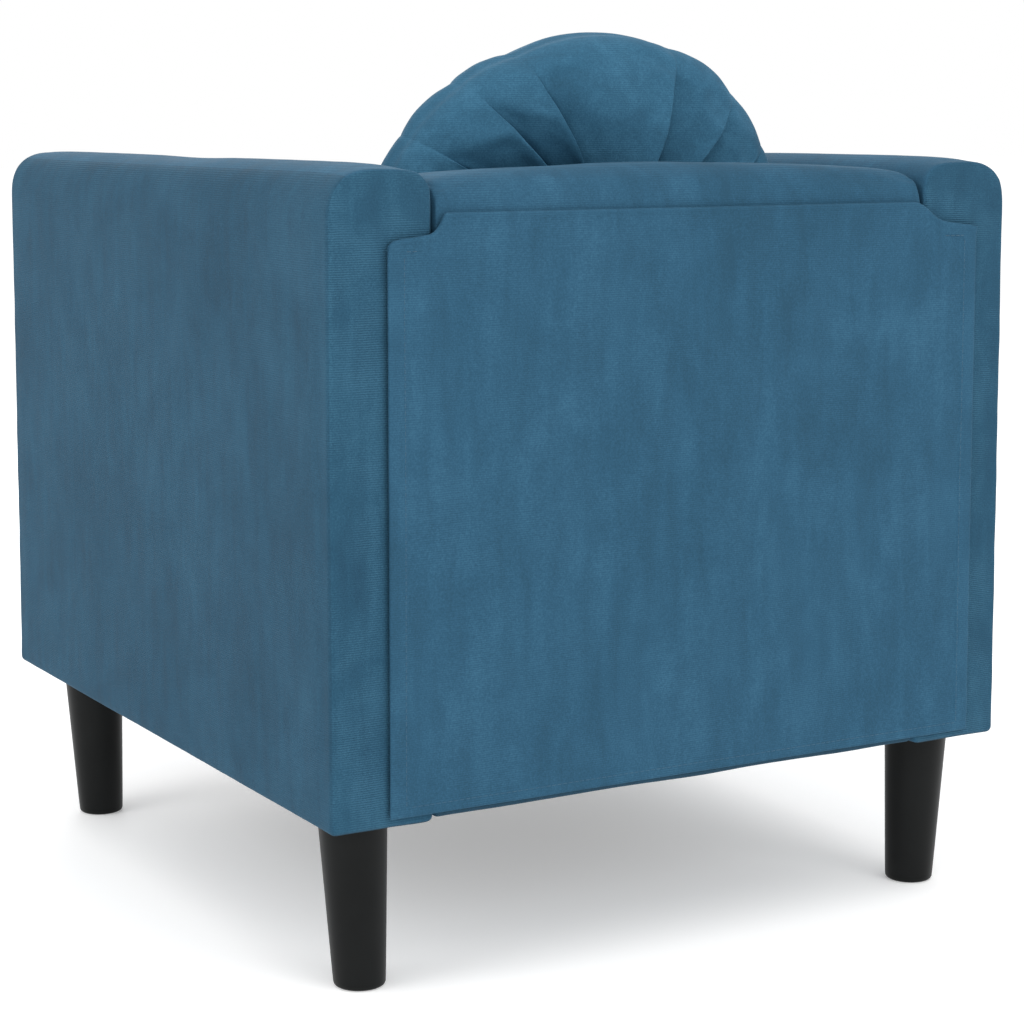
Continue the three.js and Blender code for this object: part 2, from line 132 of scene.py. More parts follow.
# ---- materials ----
class Look:
    """A procedural material that is being built. Patterns follow the piece's own coordinates."""

    def __init__(self, name, **sockets):
        self.material = bpy.data.materials.new(name)
        self.material.use_nodes = True
        self.tree = self.material.node_tree
        self.shader = self.tree.nodes["Principled BSDF"]
        self.place = self.node("ShaderNodeTexCoord", {}).outputs["Object"]
        for socket, value in sockets.items():
            self.shader.inputs[socket.replace("_", " ")].default_value = value

    def node(self, kind, inputs, **settings):
        """A new node. inputs gives each named or numbered input a value, or the output it is joined to."""
        made = self.tree.nodes.new(kind)
        for name, value in settings.items():
            setattr(made, name, value)
        for name, value in inputs.items():
            if isinstance(value, bpy.types.NodeSocket):
                self.tree.links.new(value, made.inputs[name])
            else:
                made.inputs[name].default_value = value
        return made

    def join(self, source, socket):
        self.tree.links.new(source, self.shader.inputs[socket])

    def noise(self, scale, detail=2.0, roughness=0.5, distortion=0.0, stretch=(1, 1, 1)):
        place = self.place
        if stretch != (1, 1, 1):
            place = self.node("ShaderNodeMapping", {"Scale": stretch, "Vector": place}).outputs["Vector"]
        return self.node("ShaderNodeTexNoise", {
            "Scale": scale, "Detail": detail, "Roughness": roughness, "Distortion": distortion,
            "Vector": place,
        }).outputs["Fac"]

    def bands(self, direction, period, distortion=0.0, detail_scale=1.0):
        """Fine parallel ribs, period metres apart, across the X, Y or Z direction."""
        return self.node("ShaderNodeTexWave", {
            "Scale": math.pi / 10 / period, "Distortion": distortion, "Detail": 1.5,
            "Detail Scale": detail_scale, "Vector": self.place,
        }, bands_direction=direction).outputs["Fac"]

    def sum(self, *weighted):
        """The sum of (output, weight) pairs."""
        total = 0
        for output, weight in weighted:
            add = self.node("ShaderNodeMath", {0: output, 1: weight, 2: total}, operation="MULTIPLY_ADD")
            total = add.outputs[0]
        return total

    def times(self, one, other):
        return self.node("ShaderNodeMath", {0: one, 1: other}, operation="MULTIPLY").outputs[0]

    def ramp(self, factor, *stops):
        ramp = self.node("ShaderNodeValToRGB", {"Fac": factor})
        elements = ramp.color_ramp.elements
        while len(elements) < len(stops):
            elements.new(0.5)
        for element, (position, colour) in zip(elements, stops):
            element.position = position
            element.color = (*colour, 1)
        return ramp.outputs["Color"]

    def colour(self, factor, *stops):
        self.join(self.ramp(factor, *stops), "Base Color")

    def roughness(self, factor, low, high):
        spread = self.node("ShaderNodeMapRange", {"To Min": low, "To Max": high, "Value": factor})
        self.join(spread.outputs["Result"], "Roughness")

    def bump(self, height, depth, strength=1.0):
        bump = self.node("ShaderNodeBump", {"Distance": depth, "Strength": strength, "Height": height})
        self.join(bump.outputs["Normal"], "Normal")


def linear(red, green, blue):
    """A colour given as 0 to 255 screen values, as the shader's linear one."""
    shares = (red / 255, green / 255, blue / 255)
    return tuple(c / 12.92 if c <= 0.04 else ((c + 0.055) / 1.055) ** 2.4 for c in shares)


def velvet(name, deep, mid, light, rib=0.0, streak=(1, 1, 0.2)):
    """Short-pile velvet: brushed patches, streaks of nap, fine pile and woven ribs, stronger with rib."""
    look = Look(name, Specular_IOR_Level=0.15, Sheen_Weight=0.1, Sheen_Roughness=0.35,
                Sheen_Tint=(*linear(150, 190, 215), 1))
    patches = look.noise(7, 4, 0.62, 0.6)
    nap = look.noise(60, 3, 0.55, 0.4, streak)
    pile = look.noise(620, 2, 0.65)
    ribs = look.bands("Z", 1.9 * MM, 1.2, 0.6)
    rib_patches = look.ramp(look.noise(16, 3, 0.6, 0.5), (0.34, (0, 0, 0)), (0.60, (1, 1, 1)))
    ribbed = look.times(ribs, rib_patches)
    tone = look.sum((patches, 0.32), (nap, 0.27), (pile, 0.38), (ribbed, 0.09 + 0.10 * rib))
    look.colour(tone, (0.38, deep), (0.523, mid), (0.70, light))
    look.roughness(nap, 0.72, 0.95)
    look.bump(look.sum((pile, 0.7), (nap, 0.4), (ribbed, 0.25 + rib)), 0.35 * MM, 0.8)
    return look.material


def wood(name, dark, pale, ring, grain=(0.06, 1, 1), bend=1.4):
    look = Look(name, Specular_IOR_Level=0.3)
    figure = look.noise(ring, 4, 0.6, bend, grain)
    pores = look.noise(ring * 9, 3, 0.6, 0.2, grain)
    mixed = look.sum((figure, 0.75), (pores, 0.25))
    look.colour(mixed, (0.32, dark), (0.68, pale))
    look.roughness(pores, 0.55, 0.8)
    look.bump(pores, 0.3 * MM, 0.5)
    return look.material


def foam(name, dark, pale):
    look = Look(name, Specular_IOR_Level=0.1, Subsurface_Weight=0.1)
    cells = look.noise(700, 3, 0.6)
    stain = look.noise(9, 3, 0.5)
    look.colour(look.sum((cells, 0.6), (stain, 0.4)), (0.3, dark), (0.7, pale))
    look.roughness(cells, 0.85, 1.0)
    look.bump(cells, 0.6 * MM)
    return look.material


def steel():
    look = Look("zinc_steel", Metallic=0.95)
    spangle = look.noise(90, 3, 0.6, 0.8)
    scratches = look.noise(500, 2, 0.5, 0.0, (1, 0.05, 1))
    look.colour(spangle, (0.3, (0.36, 0.37, 0.38)), (0.7, (0.62, 0.63, 0.63)))
    look.roughness(look.sum((spangle, 0.5), (scratches, 0.5)), 0.25, 0.5)
    look.bump(scratches, 0.05 * MM, 0.4)
    return look.material


def moulded_plastic():
    """Satin black plastic with a faint moulded grain and slightly polished, slightly dusty patches."""
    look = Look("satin_black_plastic", Specular_IOR_Level=0.14)
    grain = look.noise(1500, 2, 0.6)
    handling = look.noise(22, 4, 0.6, 0.6)
    look.colour(handling, (0.3, linear(11, 13, 13)), (0.75, linear(17, 19, 19)))
    look.roughness(look.sum((handling, 0.7), (grain, 0.3)), 0.34, 0.5)
    look.bump(grain, 0.05 * MM, 0.5)
    return look.material


def spunbond(name, dark, pale):
    """Thin non-woven cloth with a grid of pressed dots."""
    look = Look(name, Specular_IOR_Level=0.2)
    dots_x = look.bands("X", 2.6 * MM)
    dots_y = look.bands("Y", 2.6 * MM)
    dots = look.times(dots_x, dots_y)
    threads = look.noise(600, 3, 0.6)
    look.colour(look.sum((threads, 0.6), (dots, 0.4)), (0.25, dark), (0.8, pale))
    look.roughness(threads, 0.75, 0.95)
    look.bump(look.sum((dots, -0.6), (threads, 0.4)), 0.3 * MM)
    return look.material


def woven_tape():
    """Hook strip: stiff nylon with close rows of tiny hooks."""
    look = Look("nylon_tape", Specular_IOR_Level=0.4)
    rows = look.bands("Z", 1.6 * MM, 0.4, 2.0)
    hooks = look.bands("X", 1.3 * MM, 0.4, 2.0)
    pattern = look.times(rows, hooks)
    look.colour(pattern, (0.1, linear(20, 24, 28)), (0.9, linear(56, 62, 68)))
    look.roughness(pattern, 0.5, 0.8)
    look.bump(pattern, 0.5 * MM)
    return look.material


def thread():
    look = Look("sewing_thread", Specular_IOR_Level=0.3, Sheen_Weight=0.2)
    twist = look.noise(2600, 1, 0.5)
    look.colour(twist, (0.3, linear(36, 68, 88)), (0.7, linear(56, 94, 117)))
    look.roughness(twist, 0.6, 0.8)
    look.bump(twist, 0.1 * MM)
    return look.material


VELVET_TONES = (linear(34, 70, 91), linear(41, 80, 104), linear(54, 96, 121))
# Darker, greyer tones of the same velvet for the arms' outer sides: painted shade, since the top and the
# sides are one cloth.
SHADED_SIDE_TONES = (linear(29, 60, 79), linear(36, 71, 92), linear(47, 85, 107))
BRIGHTER_TONES = (linear(30, 65, 86), linear(37, 75, 97), linear(52, 93, 116))
# Darker tones of the same velvet for faces that look down: painted shade, not a different cloth.
SHADED_UNDERSIDE_TONES = (linear(28, 55, 71), linear(34, 64, 82), linear(42, 75, 94))
CUSHION_TONES = (linear(38, 77, 99), linear(46, 89, 114), linear(61, 107, 133))
VELVET = velvet("velvet", *VELVET_TONES)
# Painted shade: the velvet made darker and greyer for the arms' outer sides.
VELVET_SHADED_SIDE = velvet("velvet_shaded_side", *SHADED_SIDE_TONES, rib=0.35)
VELVET_END = velvet("velvet_end", *BRIGHTER_TONES, rib=1.0)
# Painted shade: the velvet made darker for faces that look down.
VELVET_SHADED_UNDERSIDE = velvet("velvet_shaded_underside", *SHADED_UNDERSIDE_TONES)
VELVET_CUSHION = velvet("velvet_cushion", *CUSHION_TONES, streak=(1, 1, 1))
THREAD = thread()
PLASTIC = moulded_plastic()
STEEL = steel()
DUST_CLOTH = spunbond("black_spunbond", linear(16, 16, 18), linear(40, 40, 43))
SLOT_LOOKS = {
    "velvet": VELVET,
    "leg_plastic": PLASTIC,
    "pine": wood("pine", linear(176, 132, 84), linear(214, 178, 128), 24),
    "plywood": wood("plywood", linear(158, 118, 76), linear(196, 158, 112), 20, (1, 1, 0.07), 0.5),
    "foam": foam("cut_foam", linear(206, 196, 158), linear(238, 230, 200)),
    "fibre_fill": foam("fibre_fill", linear(215, 215, 212), linear(245, 245, 243)),
    "steel": STEEL,
    "dust_cloth": DUST_CLOTH,
    "hook_strip": woven_tape(),
}


def paint_frame():
    """Gives each CAD node the material of its slot."""
    for part in frame["record"]["subparts"]:
        node = frame["nodes"][part["node"]]
        node.data.materials.clear()
        node.data.materials.append(SLOT_LOOKS[part["material_slot"]])


# ---- mesh helpers ----
def make_piece(name, points, faces, materials=(), chosen=None):
    """A smooth-shaded mesh piece. chosen gives each face's material number."""
    mesh = bpy.data.meshes.new(name)
    mesh.from_pydata([tuple(map(float, p)) for p in points], [], [tuple(map(int, f)) for f in faces])
    for material in materials:
        mesh.materials.append(material)
    mesh.polygons.foreach_set("use_smooth", [True] * len(mesh.polygons))
    if chosen is not None:
        mesh.polygons.foreach_set("material_index", [int(c) for c in chosen])
    mesh.update()
    return link(bpy.data.objects.new(name, mesh))


def corners_of(node):
    """The low and the high corner of a CAD node's box."""
    return [np.array(corner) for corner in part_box(node)]


def place_of(obj, what="co"):
    flat = np.empty(len(obj.data.vertices) * 3)
    obj.data.vertices.foreach_get(what, flat)
    return flat.reshape(-1, 3)


def move_to(obj, points):
    obj.data.vertices.foreach_set("co", np.asarray(points, float).ravel())
    obj.data.update()


def normals_of(obj):
    return place_of(obj, "normal")


def push_out(obj, points, by):
    """Moves the piece's points to the given places, and then out along the normals by these lengths."""
    move_to(obj, points + normals_of(obj) * by[:, None])


def subdivide(obj):
    smooth = obj.modifiers.new("subdivision", "SUBSURF")
    smooth.levels = smooth.render_levels = 1


def smoothstep(value, low=0.0, high=1.0):
    t = np.clip((value - low) / (high - low), 0, 1)
    return t * t * (3 - 2 * t)


def ripple(points, wavelength, seed):
    """Smooth random waves between about -1 and 1, the same on each run."""
    random = np.random.RandomState(seed)
    total = np.zeros(len(points))
    for _ in range(7):
        direction = random.normal(size=3)
        direction /= np.linalg.norm(direction)
        length = wavelength * random.uniform(0.7, 1.6)
        total += np.sin(points @ direction * 2 * math.pi / length + random.uniform(0, 2 * math.pi))
    return total / 4


FINE = tuple(MM * step for step in (0, 1.5, 3.2, 5.5, 9, 14))
NET_STEP = 11 * MM  # between the points of an arm's or the back's net
CUSHION_STEP = 12 * MM
PUFF_FRAMES = 20
CLOTH_MASS = 0.3
CLOTH_BENDING = 0.5
TINY = 1e-12
NEAR_CHUNK = 400  # seam points measured at once, to spare memory


def stations(low, high, step, fine=FINE):
    """Places from low to high, step apart in the middle and closer towards both ends."""
    count = max(2, round((high - low - 2 * fine[-1]) / step))
    middle = np.linspace(low + fine[-1], high - fine[-1], count + 1)[1:-1]
    return np.array([low + f for f in fine] + list(middle) + [high - f for f in reversed(fine)])


def box_net(xs, ys, zs):
    """The six sides of a box as one closed net: its points, its quads and each point's lattice place."""
    sizes = (len(xs), len(ys), len(zs))
    index, places, faces = {}, [], []

    def vertex(*place):
        if place not in index:
            index[place] = len(places)
            places.append(place)
        return index[place]

    for fixed in range(3):
        a, b = (fixed + 1) % 3, (fixed + 2) % 3
        for end in (0, sizes[fixed] - 1):
            for i in range(sizes[a] - 1):
                for j in range(sizes[b] - 1):
                    corners = []
                    for di, dj in ((0, 0), (1, 0), (1, 1), (0, 1)):
                        place = [0, 0, 0]
                        place[fixed], place[a], place[b] = end, i + di, j + dj
                        corners.append(vertex(*place))
                    faces.append(corners if end else corners[::-1])
    places = np.array(places)
    points = np.stack([np.asarray(line)[places[:, i]] for i, line in enumerate((xs, ys, zs))], 1)
    return points, np.array(faces), places


def round_corners(points, a, b, low, high, radii):
    """Rounds a box's four edges along its third axis. radii go round from low a, low b by high a, low b."""
    for (side_a, side_b), radius in zip(((-1, -1), (1, -1), (1, 1), (-1, 1)), radii):
        centre_a = high[a] - radius if side_a > 0 else low[a] + radius
        centre_b = high[b] - radius if side_b > 0 else low[b] + radius
        away_a = side_a * (points[:, a] - centre_a)
        away_b = side_b * (points[:, b] - centre_b)
        inside = (away_a > 0) & (away_b > 0)
        share = np.maximum(away_a, away_b) / np.maximum(np.hypot(away_a, away_b), TINY)
        points[:, a] = np.where(inside, centre_a + side_a * away_a * share, points[:, a])
        points[:, b] = np.where(inside, centre_b + side_b * away_b * share, points[:, b])


def inset_of(points, a, b, low, high, radii):
    """How far each point lies inside the rounded outline in the plane of a and b, and the way out."""
    middle_a, middle_b = (low[a] + high[a]) / 2, (low[b] + high[b]) / 2
    half_a, half_b = (high[a] - low[a]) / 2, (high[b] - low[b]) / 2
    off_a, off_b = points[:, a] - middle_a, points[:, b] - middle_b
    sign_a, sign_b = np.where(off_a < 0, -1, 1), np.where(off_b < 0, -1, 1)
    low_side = np.where(sign_a < 0, radii[0], radii[1])
    high_side = np.where(sign_a < 0, radii[3], radii[2])
    radius = np.where(sign_b < 0, low_side, high_side)
    past_a = np.abs(off_a) - half_a + radius
    past_b = np.abs(off_b) - half_b + radius
    corner = (past_a > 0) & (past_b > 0)
    length = np.maximum(np.hypot(past_a, past_b), TINY)
    inset = np.where(corner, radius - length, radius - np.maximum(past_a, past_b))
    flat_a = past_a > past_b
    out_a = np.where(corner, past_a / length, flat_a) * sign_a
    out_b = np.where(corner, past_b / length, ~flat_a) * sign_b
    return np.maximum(inset, 0), out_a, out_b


def soft_box(low, high, axis, radii, fillets, step):
    """A padded box: round corners about one axis, and rounded edges where its two ends meet its sides.

    Returns the points, the faces, and the numbers of the points along the two end seams.
    """
    a, b = sorted({0, 1, 2} - {axis})
    grid = [stations(low[i], high[i], step) for i in range(3)]
    points, faces, places = box_net(*grid)
    last = np.array([len(g) - 1 for g in grid])
    rim = (places[:, a] == 0) | (places[:, a] == last[a]) | (places[:, b] == 0) | (places[:, b] == last[b])
    seams = rim & ((places[:, axis] == 0) | (places[:, axis] == last[axis]))
    round_corners(points, a, b, low, high, radii)
    inset, out_a, out_b = inset_of(points, a, b, low, high, radii)
    for end, radius in ((-1, fillets[0]), (1, fillets[1])):
        from_end = points[:, axis] - low[axis] if end < 0 else high[axis] - points[:, axis]
        along, inward = radius - from_end, radius - inset
        inside = (along > 0) & (inward > 0)
        share = np.maximum(along, inward) / np.maximum(np.hypot(along, inward), TINY)
        new_from_end = np.where(inside, radius - along * share, from_end)
        moved = np.where(inside, (radius - inward * share) - inset, 0)
        points[:, a] -= out_a * moved
        points[:, b] -= out_b * moved
        points[:, axis] = low[axis] + new_from_end if end < 0 else high[axis] - new_from_end
    return points, faces, np.flatnonzero(seams)


def faces_facing(points, faces, axis, sign, level=0.75):
    """True for each face that looks mostly along one axis."""
    a, b, c = (points[faces[:, i]] for i in (0, 1, 2))
    normal = np.cross(b - a, c - a)
    normal /= np.maximum(np.linalg.norm(normal, axis=1, keepdims=True), 1e-15)
    return sign * normal[:, axis] > level


def puff(obj, seam, still, pressure, cap, stiffness=15.0):
    """Rounds the piece as cloth under air pressure.

    The points of the seam and those where still is true are held, and cap limits how far the others move.
    """
    rest = place_of(obj)
    group = obj.vertex_groups.new(name="held")
    group.add([int(v) for v in np.union1d(seam, np.flatnonzero(still))], 1.0, "REPLACE")
    cloth = obj.modifiers.new("cloth", "CLOTH")
    settings = cloth.settings
    settings.vertex_group_mass = "held"
    settings.quality = 5
    settings.mass = CLOTH_MASS
    settings.tension_stiffness = settings.compression_stiffness = stiffness
    settings.shear_stiffness = stiffness / 3
    settings.bending_stiffness = CLOTH_BENDING
    settings.use_pressure = True
    settings.uniform_pressure_force = pressure
    settings.effector_weights.gravity = 0
    cloth.point_cache.frame_start = 1
    cloth.point_cache.frame_end = PUFF_FRAMES
    for step in range(1, PUFF_FRAMES + 1):
        bpy.context.scene.frame_set(step)
    evaluated = obj.evaluated_get(bpy.context.evaluated_depsgraph_get())
    moved = place_of(evaluated) - rest
    obj.modifiers.remove(cloth)
    obj.vertex_groups.remove(group)
    bpy.context.scene.frame_set(1)
    size = np.linalg.norm(moved, axis=1, keepdims=True)
    move_to(obj, rest + moved * (cap * np.tanh(size / cap) / np.maximum(size, 1e-9)))


def groove(obj, seam, depth, width, normals):
    """Draws the cloth in along a seam, so that it dips by depth and swells again within width."""
    points = place_of(obj)
    line = points[seam]
    away = np.full(len(points), 1.0)
    for start in range(0, len(line), NEAR_CHUNK):
        gap = np.linalg.norm(points[:, None] - line[None, start:start + NEAR_CHUNK], axis=2).min(axis=1)
        away = np.minimum(away, gap)
    move_to(obj, points - normals * (depth * np.exp(-(away / width) ** 2))[:, None])


def tube_net(path, radius, sides=8, closed=True, rings=None):
    """A round tube along a path, as points and faces. rings may give each ring its own radius."""
    path = np.asarray(path, float)
    count = len(path)
    ahead = np.roll(path, -1, 0) - np.roll(path, 1, 0)
    if not closed:
        ahead[0], ahead[-1] = path[1] - path[0], path[-1] - path[-2]
    ahead /= np.linalg.norm(ahead, axis=1, keepdims=True)
    normal = np.cross(ahead[0], (0.31, 0.52, 0.79))
    points = []
    for i in range(count):
        normal = normal - ahead[i] * (normal @ ahead[i])
        normal /= np.linalg.norm(normal)
        other = np.cross(ahead[i], normal)
        size = radius if rings is None else rings[i]
        for s in range(sides):
            angle = 2 * math.pi * s / sides
            points.append(path[i] + size * (normal * math.cos(angle) + other * math.sin(angle)))
    faces = []
    for i in range(count if closed else count - 1):
        for s in range(sides):
            t = (s + 1) % sides
            j = (i + 1) % count
            faces.append((i * sides + s, i * sides + t, j * sides + t, j * sides + s))
    if not closed:
        faces.append(tuple(range(sides))[::-1])
        faces.append(tuple((count - 1) * sides + s for s in range(sides)))
    return np.array(points), faces


def strip_cap(ring):
    """Closes an even ring of points with quads laid across it, so that no point joins many faces."""
    count = len(ring)
    faces = []
    for i in range(count // 2):
        corners = (ring[i], ring[i + 1], ring[count - i - 1], ring[(count - i) % count])
        faces.append(tuple(dict.fromkeys(corners)))
    return faces


def closed_sheet(columns, rows):
    """The faces of a thin closed sheet: an outer lattice of points, then an inner one, joined at the rim."""
    count = columns * rows
    faces = []
    for i in range(columns - 1):
        for j in range(rows - 1):
            a, b = i * rows + j, (i + 1) * rows + j
            faces.append((a, a + 1, b + 1, b))
            faces.append((count + a, count + b, count + b + 1, count + a + 1))
    rim = [i * rows for i in range(columns)]
    rim += [(columns - 1) * rows + j for j in range(1, rows)]
    rim += [i * rows + rows - 1 for i in range(columns - 2, -1, -1)]
    rim += [j for j in range(rows - 2, 0, -1)]
    faces += [(v, w, count + w, count + v) for v, w in zip(rim, rim[1:] + rim[:1])]
    return faces


def turned_tube(rings, around, flip=False):
    """The faces of a closed tube whose rings of points come one after another, capped at both ends."""
    faces = []
    for i in range(around):
        j = (i + 1) % around
        for a in range(0, (rings - 1) * around, around):
            quad = (a + i, a + j, a + around + j, a + around + i)
            faces.append(quad[::-1] if flip else quad)
    first = list(range(around))
    last = [(rings - 1) * around + i for i in range(around)]
    return faces + strip_cap(first if flip else first[::-1]) + strip_cap(last[::-1] if flip else last)


def joined(parts):
    """Several (points, faces) nets as one."""
    points, faces = [], []
    for part_points, part_faces in parts:
        start = sum(len(p) for p in points)
        points.append(np.asarray(part_points))
        faces += [tuple(start + v for v in face) for face in part_faces]
    return np.concatenate(points), faces


STITCH = {"length": 4.2 * MM, "gap": 1.4 * MM, "radius": 0.3 * MM}
STITCH_RINGS = ((0, 0.35), (0.12, 0.85), (0.5, 1), (0.88, 0.85), (1, 0.35))  # along the stitch, and how thick


def stitches(name, path):
    """A row of short thread stitches along a path on the rear flap, as one piece."""
    length, gap, radius = STITCH["length"], STITCH["gap"], STITCH["radius"]
    path = np.asarray(path, float)
    run = np.concatenate([[0], np.cumsum(np.linalg.norm(np.diff(path, axis=0), axis=1))])

    def at(distance):
        return np.array([np.interp(distance, run, path[:, i]) for i in range(3)])

    parts = []
    start = gap
    while start + length < run[-1]:
        spots = [at(start + length * share) for share, _ in STITCH_RINGS]
        parts.append(tube_net(spots, radius, 6, False, [radius * size for _, size in STITCH_RINGS]))
        start += length + gap
    row = make_piece(name, *joined(parts), [THREAD])
    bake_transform(row)


# ---- arms ----
ARM_RADII = {"outer": 34 * MM, "inner": 22 * MM, "bottom": 6 * MM}
ARM_CROWN = 3 * MM
ARM_REAR_SWELL = 0.8 * MM
ARM_FILLETS = (9 * MM, 3.5 * MM)
ARM_END_DIP = 3.5 * MM
ARM_SWELL = 1.3 * MM
ARM_HELD = {"end": 16 * MM, "foot": 8 * MM}  # how far from its ends and its foot the cover stays put
ARM_SEAM_TOP = 26 * MM  # below the top, where the end seams fade
FIRM, PLUMP = 4.0, 5.0  # pressures for puff


def add_arms():
    """Each arm has a wrapped panel over its top and two sides, and a flat end panel at each end.

    The left arm is made and puffed, and the right one starts as its mirror image.
    """
    low, high = corners_of("left_arm_cover")
    high[2] -= ARM_CROWN
    high[1] += ARM_REAR_SWELL
    bottom = ARM_RADII["bottom"]
    radii = (bottom, bottom, ARM_RADII["outer"], ARM_RADII["inner"])
    points, faces, seam = soft_box(low, high, 1, radii, ARM_FILLETS, NET_STEP)
    ends = faces_facing(points, faces, 1, 1) | faces_facing(points, faces, 1, -1)
    # The outer sides take the darker, greyer velvet copy: painted shade, the top and the sides being one
    # panel of cloth.
    outer = faces_facing(points, faces, 0, 1, 0.45) & ~ends
    # Faces that look down take the darker velvet copy: painted shade.
    under = faces_facing(points, faces, 2, -1)
    chosen = np.where(ends, 1, np.where(outer, 2, np.where(under, 3, 0)))
    looks = [VELVET, VELVET_END, VELVET_SHADED_SIDE, VELVET_SHADED_UNDERSIDE]
    near_end = np.minimum(points[:, 1] - low[1], high[1] - points[:, 1]) < ARM_HELD["end"]
    still = (points[:, 2] < low[2] + ARM_HELD["foot"]) | near_end
    left = make_piece("left_arm_upholstery", points, faces, looks, chosen)
    puff(left, seam, still, FIRM, ARM_SWELL)
    right = make_piece("right_arm_upholstery", place_of(left) * (-1, 1, 1), faces[:, ::-1], looks, chosen)
    for arm, (side_name, side) in zip((left, right), SIDES):
        points = place_of(arm)
        across = (np.abs(points[:, 0]) - low[0]) / (high[0] - low[0])
        near_top = smoothstep(points[:, 2], high[2] - 60 * MM, high[2])
        points[:, 2] += near_top * ARM_CROWN * np.clip(1 - (2 * across - 1) ** 2, 0, 1)
        points[:, 2] -= near_top * ARM_END_DIP * np.exp(-(high[1] - points[:, 1]) / (30 * MM))
        move_to(arm, points)
        pucker = 0.25 * MM * ripple(points, 26 * MM, 5 + side)
        pucker += 0.2 * MM * ripple(points, 130 * MM, 9 + side)
        away = np.minimum(points[:, 1] - low[1], high[1] - points[:, 1])
        pucker *= 0.35 + np.exp(-away / (18 * MM))
        push_out(arm, points, pucker)
        upright = seam[place_of(arm)[seam, 2] < high[2] - ARM_SEAM_TOP]
        groove(arm, upright, 1.1 * MM, 1.8 * MM, normals_of(arm))
        subdivide(arm)
        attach(arm, "chair")
        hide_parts(f"{side_name}_arm_cover", f"{side_name}_arm_foam")


# ---- back ----
BACK_RADII = (5 * MM, 7 * MM, 26 * MM, 30 * MM)  # front bottom, rear bottom, rear top and front top
BACK_FILLET = 7 * MM
BACK_SHOULDER = 10 * MM
BACK_REAR_FILLET = 3 * MM  # where the cloth is pulled tight over the posts
POST_TOP = 654 * MM
BACK_CROWN = 8 * MM
BACK_LEAN = 10 * MM
BACK_SWELL = 3 * MM
WINDOW = {"half": 215 * MM, "low": 215 * MM, "high": 612 * MM, "depth": 8 * MM}
LINING = 3 * MM  # the wadding under the back's cloth, seen at the window's edge


def open_window(obj, rear):
    """Cuts the opening that the rear flap covers, with its edges straight."""
    points = place_of(obj)
    limits = ((0, -WINDOW["half"]), (0, WINDOW["half"]), (2, WINDOW["low"]), (2, WINDOW["high"]))
    on_rear = points[:, 1] > rear - WINDOW["depth"]
    for axis, limit in limits:
        levels = np.unique(points[on_rear, axis].round(4))
        nearest = levels[np.abs(levels - limit).argmin()]
        row = on_rear & (np.abs(points[:, axis] - nearest) < 2 * MM)
        points[row, axis] = limit
    move_to(obj, points)
    cut = bmesh.new()
    cut.from_mesh(obj.data)
    gone = []
    for face in cut.faces:
        middle = face.calc_center_median()
        within = abs(middle.x) < WINDOW["half"] and WINDOW["low"] < middle.z < WINDOW["high"]
        if within and middle.y > rear - WINDOW["depth"]:
            gone.append(face)
    bmesh.ops.delete(cut, geom=gone, context="FACES")
    cut.to_mesh(obj.data)
    cut.free()
    obj.data.update()


def add_back():
    """The back: one padded slab that leans a little, with a crowned top edge that rolls to the rear."""
    low, high = corners_of("back_cover")
    seat_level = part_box("seat_base_cover")[1][2]
    high[2] -= BACK_CROWN
    points, faces, seam = soft_box(low, high, 0, BACK_RADII, (BACK_FILLET, BACK_FILLET), NET_STEP)
    tight = soft_box(low, high, 0, BACK_RADII, (BACK_REAR_FILLET, BACK_REAR_FILLET), NET_STEP)[0]
    share = smoothstep(points[:, 1], high[1] - 70 * MM, high[1] - 30 * MM)
    share = (share * (1 - smoothstep(points[:, 2], POST_TOP, POST_TOP + 14 * MM)))[:, None]
    points = points * (1 - share) + tight * share
    round_corners(points, 0, 2, low, high, (0, 0, BACK_SHOULDER, BACK_SHOULDER))
    # Faces that look down take the darker velvet copy: painted shade on the back's underside.
    under = faces_facing(points, faces, 2, -1, 0.3)
    wadding = SLOT_LOOKS["foam"]
    back = make_piece("back_upholstery", points, faces, [VELVET, VELVET_SHADED_UNDERSIDE, wadding, wadding], under)
    behind_flap = (points[:, 1] > high[1] - 2 * MM) & (points[:, 2] < 620 * MM)
    hidden = (points[:, 2] < low[2] + 12 * MM) | behind_flap
    puff(back, seam, hidden, FIRM, BACK_SWELL)
    points = place_of(back)
    across = points[:, 0] / high[0]
    near_top = smoothstep(points[:, 2], high[2] - 90 * MM, high[2])
    points[:, 2] += near_top * BACK_CROWN * (1 - across ** 2)
    lean = np.clip((points[:, 2] - seat_level) / (high[2] - seat_level), 0, 1) * BACK_LEAN
    forward = np.clip((high[1] - points[:, 1]) / (high[1] - low[1]), 0, 1)
    points[:, 1] += lean * forward
    move_to(back, points)
    waves = 0.5 * MM * ripple(points, 120 * MM, 21) + 0.25 * MM * ripple(points, 30 * MM, 22)
    push_out(back, points, waves)
    open_window(back, high[1])
    lining = back.modifiers.new("lining", "SOLIDIFY")
    lining.thickness = LINING
    lining.offset = -1
    lining.material_offset = 2
    subdivide(back)
    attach(back, "chair")
    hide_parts("back_cover", "back_foam")


# ---- seat base ----
BASE_RADII = (7 * MM, 4 * MM, 4 * MM, 20 * MM)
BASE_FILLET = 5 * MM
BASE_SWELL = 4 * MM
BASE_FRONT = 40 * MM  # how much of the base may swell, behind its front


